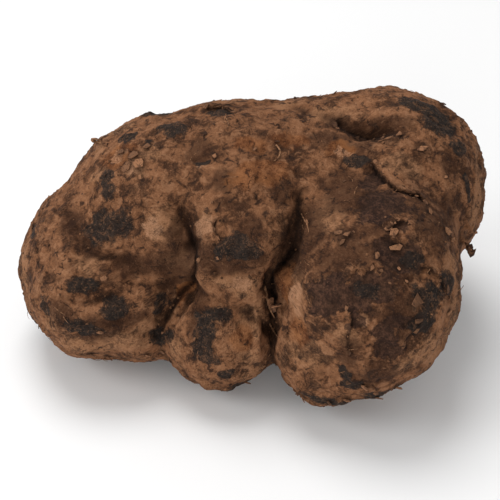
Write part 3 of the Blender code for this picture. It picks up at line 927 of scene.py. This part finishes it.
def add_tube(shape, route, radii, sides, draw, knobs=0.0, torn=0.0):
    """A closed tube through the route's points, with knobbly sides and a torn end."""
    rings = []
    side = route[1] - route[0]
    across = side.orthogonal().normalized()
    for index, (place, radius) in enumerate(zip(route, radii)):
        ahead = route[min(index + 1, len(route) - 1)] - route[max(index - 1, 0)]
        ahead.normalize()
        across = (across - ahead * across.dot(ahead)).normalized()
        athwart = ahead.cross(across)
        ring = []
        for step in range(sides):
            angle = math.tau * step / sides
            reach = radius * (1 + draw.uniform(-knobs, knobs))
            along = draw.uniform(-torn, torn) if index == len(route) - 1 else 0
            spot = place + (across * math.cos(angle) + athwart * math.sin(angle)) * reach + ahead * along
            ring.append(shape.verts.new(spot))
        rings.append(ring)
    for ring, following in zip(rings, rings[1:]):
        for step in range(sides):
            after = (step + 1) % sides
            shape.faces.new((ring[step], ring[after], following[after], following[step]))
    for ring, place, turned in ((rings[0], route[0], True), (rings[-1], route[-1], False)):
        middle = shape.verts.new(place)
        for step in range(sides):
            corners = (ring[step], ring[(step + 1) % sides], middle)
            shape.faces.new(corners[::-1] if turned else corners)


def add_stub(shape, base, tip, out, radius, draw):
    """One root: it leaves the skin along its normal and bends over to its tip."""
    length = (tip - base).length
    knee = base + out * length * KNEE_AT
    sway = Vector([draw.uniform(-1, 1) for _ in range(3)]) * length * ROOT_BEND
    route, radii = [base - out * ROOT_FOOT], [radius * ROOT_FLARE]
    for ring in range(ROOT_RINGS):
        share = ring / (ROOT_RINGS - 1)
        place = base * (1 - share) ** 2 + knee * 2 * share * (1 - share) + tip * share**2
        route.append(place + sway * math.sin(share * math.pi * 2) * 0.5)
        flare = (ROOT_FLARE - 1) * math.exp(-share * FLARE_FADE)
        radii.append(radius * (1 + flare - ROOT_TAPER * share))
    add_tube(shape, route, radii, ROOT_SIDES, draw, ROOT_KNOBS, radius * ROOT_TORN)


def rounded(route):
    """The route's four points with two more between each and the next, along a smooth curve."""
    ends = [route[0], *route, route[-1]]
    finer = [route[0]]
    for before, start, end, after in zip(ends, ends[1:], ends[2:], ends[3:]):
        for share in (1 / 3, 2 / 3, 1):
            bow = (start - before + end - after) * share * (1 - share) / 3
            finer.append(start.lerp(end, share) + bow)
    return finer


def mesh_object(shape, name):
    """The shape as one smooth object with its faces turned outwards."""
    bmesh.ops.recalc_face_normals(shape, faces=shape.faces)
    mesh = bpy.data.meshes.new(name)
    shape.to_mesh(mesh)
    shape.free()
    mesh.shade_smooth()
    return object_with(mesh, name)


def root_bark():
    """Dark, dry, stringy root bark, paler where it has split."""
    material = new_material("dry_root")
    blots = mottle(material, 1.6, 4)
    fine = mottle(material, 0.4, 3)
    colour = over(material, *ROOT_BROWNS, cut_at(material, blots, 0.4, 0.6))
    colour = coated(material, colour, ROOT_SPLITS, fine)
    return surfaced(material, colour, 0.9, 0.18, fine, 0.7, 0.4)


draw = random.Random(ROOT_SEED)
stand_outs = groups_that_stand_out(solid.data)
stubs = [group for group in stand_outs if group[0][0] > ROOT_FROM]
chips = [group for group in stand_outs if group[0][0] <= ROOT_FROM]
root_shape = bmesh.new()
for group in stubs:
    tip = group[0][1]
    feet = [facts for facts in group if facts[0] < group[0][0] * FOOT_BELOW] or group[-3:]
    foot = sum((facts[2] for facts in feet), Vector()) / len(feet)
    near, out, _, _ = bark_tree.find_nearest(foot)
    tops = [facts[1] for facts in group if facts[0] > group[0][0] * TIP_ABOVE]
    middle = sum(tops, Vector()) / len(tops)
    radius = min(THICK_ROOT, sum((spot - middle).length for spot in tops) / len(tops))
    add_stub(root_shape, near, tip, out, max(LEAST_ROOT, radius * radius / THICK_ROOT), draw)
for twig in SEEN_TWIGS:
    route = []
    for (x, y), lift in zip(twig.route, twig.lifts):
        near, out, _, _ = bark_tree.find_nearest(seen_at(x, y)[0])
        route.append(near + towards_eye * lift * MM)
    radii = [twig.radius * MM * share for share in TWIG_TAPER]
    radii = [radii[0], *np.repeat(radii[1:], 3)]
    add_tube(root_shape, rounded(route), radii, ROOT_SIDES, draw, ROOT_KNOBS, TWIG_TORN)
roots = mesh_object(root_shape, "root_stubs")
roots.data.materials.append(root_bark())
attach(roots, "root")

# The loose flakes of bark.
# Thin plates of dead cork that have cracked off the skin and curl up at one side: those that the
# photograph shows, others scattered all over, and one, mostly a sliver, at each face of the solid
# that stands a little out of the skin.

FLAKE_CORNERS = (4, 7)
FLAKE_SIZE = (1.0, 2.8)
FLAKE_RAGGED = (0.66, 1.2)
FLAKE_THICKNESS = (0.4, 0.75)
FLAKE_LIFT = (3, 22)
FLAKE_SUNK = 0.35
FLAKE_TONE = (0.0, 0.8)
FLAKE_SEED = 8
FLAKE_COUNT = 260
FLAKE_CREASE = math.radians(40)
FLAKE_ABOVE = 3 * MM
FLAKE_WIDE = (0.4, 0.9)
FLAKE_JITTER = 0.32
FLAKE_CURL = (-0.04, 0.1)
# The rims of a flake from its top to its underside: how wide, and at what share of its thickness.
FLAKE_RIMS = ((0.5, 0.5), (0.94, 0.42), (1, -0.3), (0.5, -0.5))
# A flake at a face that stands out: its size against that of the points that do, its largest size
# in millimetres, and its width as a share of its size.
CHIP_SPAN = 1.6
CHIP_LARGEST = 7
CHIP_WIDE = 0.7
LIP_FLAKE_STEP = 7
LIP_FLAKE_PLACE = (0.2, 0.8)
LIP_FLAKE_LONG = (2.0, 3.6)
LIP_FLAKE_WIDE = (2.4, 4.6)
LIP_FLAKE_LIFT = (2, 16)
LIP_FLAKE_BACK = 0.9 * MM
FLAKE_BROWNS = ((56, 37, 26), (156, 110, 78))
FLAKE_BLOTS = Coat((62, 41, 30), 0.7, 0.5, 0.38)
FLAKE_GRAIN = Coat((36, 24, 18), 0.6, 0.44, 0.32)

# The flakes that show in the photograph: the pixel of the middle, the length and the width in
# millimetres, how far the length is turned anticlockwise there, how far the flake is lifted, and
# its tone, from 0 for the darkest bark to 1.3 for the palest.
Flake = namedtuple("Flake", "x y long wide turn lift tone")
SEEN_FLAKES = [
    (399, 135, 4.6, 4.0, 10, 16, 0.9), (388, 139, 6.0, 1.6, -4, 8, 0.6),
    (381, 141, 4.5, 1.2, 3, 6, 0.5), (421, 149, 6.6, 3.4, -8, 14, 0.9),
    (445, 177, 2.4, 1.6, 20, 20, 1.1), (429, 212, 4.4, 2.2, 80, 30, 0.9),
    (394, 232, 5.6, 4.6, 70, 18, 0.9), (395, 248, 7.4, 3.2, 8, 14, 0.8),
    (377, 256, 3.8, 2.6, 80, 16, 0.8), (339, 233, 6.2, 4.0, 150, 16, 0.5),
    (347, 235, 5.6, 3.4, 20, 24, 0.45), (342, 242, 4.4, 2.4, -110, 12, 0.3),
    (309, 223, 4.4, 1.6, 60, 30, 1.3), (215, 157, 3.2, 2.8, 60, 16, 1.0),
    (226, 119, 3.6, 0.9, 85, 30, 1.0), (216, 104, 6.4, 3.4, 10, 24, 0.7),
    (226, 106, 5.4, 3.0, -20, 20, 0.6), (207, 107, 4.6, 2.6, 30, 18, 0.8),
    (233, 113, 4.0, 2.4, -50, 14, 0.6), (133, 156, 7.0, 5.2, 20, 10, 0.7),
    (139, 164, 6.6, 5.4, -30, 8, 0.95), (127, 168, 6.0, 4.2, 60, 10, 0.8),
    (148, 147, 4.8, 3.6, 10, 10, 0.6), (122, 152, 5.2, 3.6, -20, 8, 0.6),
    (140, 177, 2.8, 2.0, 80, 18, 1.0), (447, 232, 5.0, 3.8, -50, 22, 0.8),
    (452, 240, 3.8, 2.6, 20, 16, 0.7), (416, 302, 7.4, 6.2, 80, 2, 0.5),
    (406, 281, 2.2, 1.3, -40, 26, 1.0), (399, 268, 2.4, 1.5, -60, 22, 1.0),
    (372, 268, 3.6, 2.4, 70, 14, 0.8), (418, 320, 4.6, 3.2, 30, 5, 0.3),
    (448, 312, 4.4, 2.4, 60, 14, 0.8), (366, 385, 5.6, 3.4, 20, 26, 0.7),
    (345, 398, 4.6, 2.6, -10, 30, 0.6), (330, 401, 4.2, 2.4, 10, 34, 0.5),
    (304, 397, 5.0, 2.2, -20, 34, 0.6), (378, 394, 4.6, 2.4, 15, 32, 0.5),
    (398, 387, 4.0, 1.6, -30, 36, 0.7), (246, 386, 3.6, 2.2, 20, 30, 0.4),
    (262, 364, 3.2, 1.4, 60, 36, 0.6), (110, 356, 3.6, 2.0, -10, 34, 0.6),
    (92, 353, 3.6, 2.2, 10, 30, 0.4), (147, 354, 3.8, 2.0, 30, 34, 0.7),
    (163, 350, 3.2, 2.0, 10, 28, 0.5), (38, 326, 3.0, 1.8, -50, 30, 0.5),
    (31, 226, 3.4, 2.2, 70, 28, 0.5), (47, 198, 3.4, 1.8, 50, 26, 0.6),
    (338, 91, 2.8, 1.8, 0, 24, 0.2), (320, 96, 3.8, 1.4, 8, 20, 0.4),
    (445, 103, 5.0, 2.4, -35, 22, 0.2), (462, 126, 4.0, 2.2, -60, 22, 0.3),
    (100, 332, 3.8, 2.6, 20, 12, 0.8), (255, 150, 3.8, 1.5, 50, 14, 0.8),
]
# Dirt and painted shadow round a flake: how far they reach, as a share of its length, and how dark they are.
FLAKE_DIRT_AND_SHADOW_REACH = 0.62
FLAKE_DIRT_AND_SHADOW_SHARE = 0.75


def add_flake(shape, point, out, along, long, wide, lift, tone, draw):
    """One flake: an angular curled plate, sunk in at one end and lifted at the other."""
    side = out.cross(along).normalized()
    stance = Matrix((side.cross(out), side, out)).transposed()
    stance = stance @ Matrix.Rotation(-math.radians(lift), 3, "Y")
    thick = draw.uniform(*FLAKE_THICKNESS)
    curl = draw.uniform(*FLAKE_CURL) / max(long, 1)
    corners = draw.randint(*FLAKE_CORNERS)
    outline = []
    for corner in range(corners):
        angle = math.tau * (corner + draw.uniform(-FLAKE_JITTER, FLAKE_JITTER)) / corners
        reach = draw.uniform(*FLAKE_RAGGED)
        outline.append((math.cos(angle) * reach * long / 2, math.sin(angle) * reach * wide / 2))
    rise = math.sin(math.radians(lift)) * long / 2 - FLAKE_SUNK
    rims = []
    for share, level in FLAKE_RIMS:
        rim = []
        for x, y in outline:
            x, y = x * share, y * share
            place = stance @ Vector((x, y, curl * (x * x + 2 * y * y) + level * thick))
            rim.append(shape.verts.new(point + (place + out * (rise + thick / 2)) * MM))
        rims.append(rim)
    faces = [shape.faces.new(rims[0]), shape.faces.new(rims[-1])]
    for rim, following in zip(rims, rims[1:]):
        for corner in range(corners):
            after = (corner + 1) % corners
            faces.append(shape.faces.new((rim[corner], rim[after], following[after], following[corner])))
    for face in faces:
        face[shape.faces.layers.float["tone"]] = tone


def loose_cork():
    """Dry cork of loose flakes: each lighter or darker than the next, dusty, with dark grain."""
    material = new_material("loose_cork")
    batch = mottle(material, 9, 2)
    blots = mottle(material, 1.4, 4)
    fine = mottle(material, 0.4, 3)
    drift = cut_at(material, batch, 0.3, 0.7, -0.2, 0.2)
    tone = sum_of(material, field(material, "tone"), drift)
    colour = over(material, *FLAKE_BROWNS, cut_at(material, tone, -0.1, 1.3))
    colour = coated(material, colour, FLAKE_BLOTS, blots)
    colour = coated(material, colour, FLAKE_GRAIN, fine)
    height = sum_of(material, fine, blots, 1.5)
    return surfaced(material, colour, 0.92, 0.2, height, 0.6, 0.5)


draw = random.Random(FLAKE_SEED)
flake_shape = bmesh.new()
flake_shape.faces.layers.float.new("tone")
for group in chips:
    middle = sum((facts[1] for facts in group), Vector()) / len(group)
    near, out, _, _ = bark_tree.find_nearest(middle)
    span = max((facts[1] - middle).length for facts in group) / MM * CHIP_SPAN
    along = Matrix.Rotation(draw.uniform(0, math.tau), 3, out) @ out.orthogonal()
    span, lift = min(span, CHIP_LARGEST), draw.uniform(*FLAKE_LIFT)
    tone = draw.uniform(*FLAKE_TONE)
    add_flake(flake_shape, near, out, along, span, span * CHIP_WIDE, lift, tone, draw)
for index in draw.sample(range(len(core.vertices)), FLAKE_COUNT):
    place = core.vertices[index]
    if place.co.z < FLAKE_ABOVE:
        continue
    out = core_tree.find_nearest(place.co)[1]
    along = Matrix.Rotation(draw.uniform(0, math.tau), 3, out) @ out.orthogonal()
    size = draw.uniform(*FLAKE_SIZE)
    wide, lift = size * draw.uniform(*FLAKE_WIDE), draw.uniform(*FLAKE_LIFT)
    add_flake(flake_shape, place.co, out, along, size, wide, lift, draw.uniform(*FLAKE_TONE), draw)
# Dirt and painted shadow on the skin round each flake set out below.
flake_dirt_and_shadow = np.zeros(len(points))
for flake in (Flake(*facts) for facts in SEEN_FLAKES):
    spot = seen_at(flake.x, flake.y)[0]
    near, out, _, _ = bark_tree.find_nearest(spot)
    out = (out + core_tree.find_nearest(spot)[1] * 2).normalized()
    turn = math.radians(flake.turn)
    along = eye_right * math.cos(turn) + eye_up * math.sin(turn)
    along = (along - out * along.dot(out)).normalized()
    add_flake(flake_shape, near, out, along, flake.long, flake.wide, flake.lift, flake.tone, draw)
    gap = np.linalg.norm(points - np.array(near), axis=1) / MM / (flake.long * FLAKE_DIRT_AND_SHADOW_REACH)
    flake_dirt_and_shadow = np.maximum(flake_dirt_and_shadow, FLAKE_DIRT_AND_SHADOW_SHARE * np.exp(-(gap**4)))
soil_and_shade = np.maximum(soil_and_shade, flake_dirt_and_shadow)
core.attributes["soil_and_shade"].data.foreach_set("value", soil_and_shade.astype(np.float32))
# Scales of bark hang over the ledges and make their edges ragged.
for ledge in LEDGES:
    for start, end in zip(ledge.route, ledge.route[1:]):
        run = Vector(end) - Vector(start)
        count = max(1, round(run.length / LIP_FLAKE_STEP))
        for step in range(count):
            share = (step + draw.uniform(*LIP_FLAKE_PLACE)) / count
            spot = seen_at(*(Vector(start) + run * share))[0]
            near, _, _, _ = bark_tree.find_nearest(spot)
            out = core_tree.find_nearest(spot)[1]
            over_edge = (eye_right * run.y + eye_up * run.x).normalized()
            along = (over_edge - out * over_edge.dot(out)).normalized()
            long, wide = draw.uniform(*LIP_FLAKE_LONG), draw.uniform(*LIP_FLAKE_WIDE)
            lift, tone = draw.uniform(*LIP_FLAKE_LIFT), draw.uniform(*FLAKE_TONE)
            add_flake(flake_shape, near - along * LIP_FLAKE_BACK, out, along, long, wide, lift, tone, draw)
flakes = mesh_object(flake_shape, "bark_flakes")
flakes.data.set_sharp_from_angle(angle=FLAKE_CREASE)
flakes.data.materials.append(loose_cork())
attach(flakes, "root")

# The soil and the fine roots.
# Crumbs of dry soil that cling in the folds and under the lobes, and hair-thin roots that have
# dried on the skin; both came up with the tuber when it was dug.

CRUMB_COUNT = 520
CRUMB_SIZE = (0.3, 1.0)
CRUMB_LOW = (16 * MM, 4 * MM)
CRUMB_DISTORT = 0.3
HAIR_COUNT = 240
HAIR_LENGTH = (2.0, 6.5)
HAIR_RADIUS = (0.13, 0.24)
HAIR_SIDES = 4
HAIR_RINGS = 5
SOIL_SEED = 17
SOIL_BROWNS = ((46, 30, 20), (116, 80, 55))
# How much soil clings in the hollows, low on the tuber and all over, beside that in the clefts.
SOIL_CLINGS = (0.5, 0.8, 0.04)
CRUMB_CLEAR = 1.3
HAIRS_ALL_OVER = 0.3
HAIR_BOW = 0.5
HAIR_TAPER = 0.6
# A hair-thin root rises from the skin and dips back along part of a sine wave: its height, where on
# the wave it starts, how far it runs, and how far it is sunk, as shares of its length.
HAIR_WAVE = (0.45, 0.1, 0.55, 0.25)


def add_crumb(shape, place, size, draw):
    """One crumb: a small lump with its corners pushed about."""
    turn = Matrix.Rotation(draw.uniform(0, math.tau), 4, "Z")
    stance = Matrix.Translation(place) @ turn @ Matrix.Scale(size * MM, 4)
    lump = bmesh.ops.create_icosphere(shape, subdivisions=1, radius=1, matrix=stance)
    for corner in lump["verts"]:
        push = [draw.uniform(-CRUMB_DISTORT, CRUMB_DISTORT) for _ in range(3)]
        corner.co += Vector(push) * size * MM


def dry_soil():
    """Dry brown soil, darker where it is damp."""
    material = new_material("dry_soil")
    blots = mottle(material, 3, 4)
    fine = mottle(material, 0.4, 3)
    colour = over(material, *SOIL_BROWNS, cut_at(material, blots, 0.4, 0.62))
    return surfaced(material, colour, 0.95, 0.15, fine, 0.7, 0.4)


draw = random.Random(SOIL_SEED)
low = eased_step(*CRUMB_LOW, points[:, 2])
in_hollows, at_foot, all_over = SOIL_CLINGS
clinging = crease_soil_and_shade + in_hollows * eased_step(*HOLLOW, hollow) + at_foot * low + all_over
crumb_shape = bmesh.new()
for index in draw.choices(range(len(points)), clinging.tolist(), k=CRUMB_COUNT):
    size = draw.uniform(*CRUMB_SIZE)
    place = core.vertices[index].co.copy()
    place.z = max(place.z, size * CRUMB_CLEAR * MM)
    add_crumb(crumb_shape, place, size, draw)
crumbs = mesh_object(crumb_shape, "soil_crumbs")
crumbs.data.materials.append(dry_soil())
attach(crumbs, "root")

hair_shape = bmesh.new()
for index in draw.choices(range(len(points)), (clinging + HAIRS_ALL_OVER).tolist(), k=HAIR_COUNT):
    base = core.vertices[index].co
    out = core_tree.find_nearest(base)[1]
    length = draw.uniform(*HAIR_LENGTH) * MM
    way = Vector([draw.uniform(-1, 1) for _ in range(3)])
    way = (way - out * way.dot(out)).normalized()
    side = out.cross(way)
    bow = draw.uniform(-HAIR_BOW, HAIR_BOW)
    tall, start, run, sunk = HAIR_WAVE
    route = []
    for ring in range(HAIR_RINGS):
        share = ring / (HAIR_RINGS - 1)
        rise = tall * math.sin(math.pi * (start + run * share)) - sunk
        spot = base + way * share * length + side * bow * length * share * share + out * rise * length
        spot.z = max(spot.z, HAIR_RADIUS[1] * MM)
        route.append(spot)
    radius = draw.uniform(*HAIR_RADIUS) * MM
    radii = [radius * (1 - HAIR_TAPER * ring / HAIR_RINGS) for ring in range(HAIR_RINGS)]
    add_tube(hair_shape, route, radii, HAIR_SIDES, draw)
hairs = mesh_object(hair_shape, "root_hairs")
hairs.data.materials.append(roots.data.materials[0])
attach(hairs, "root")
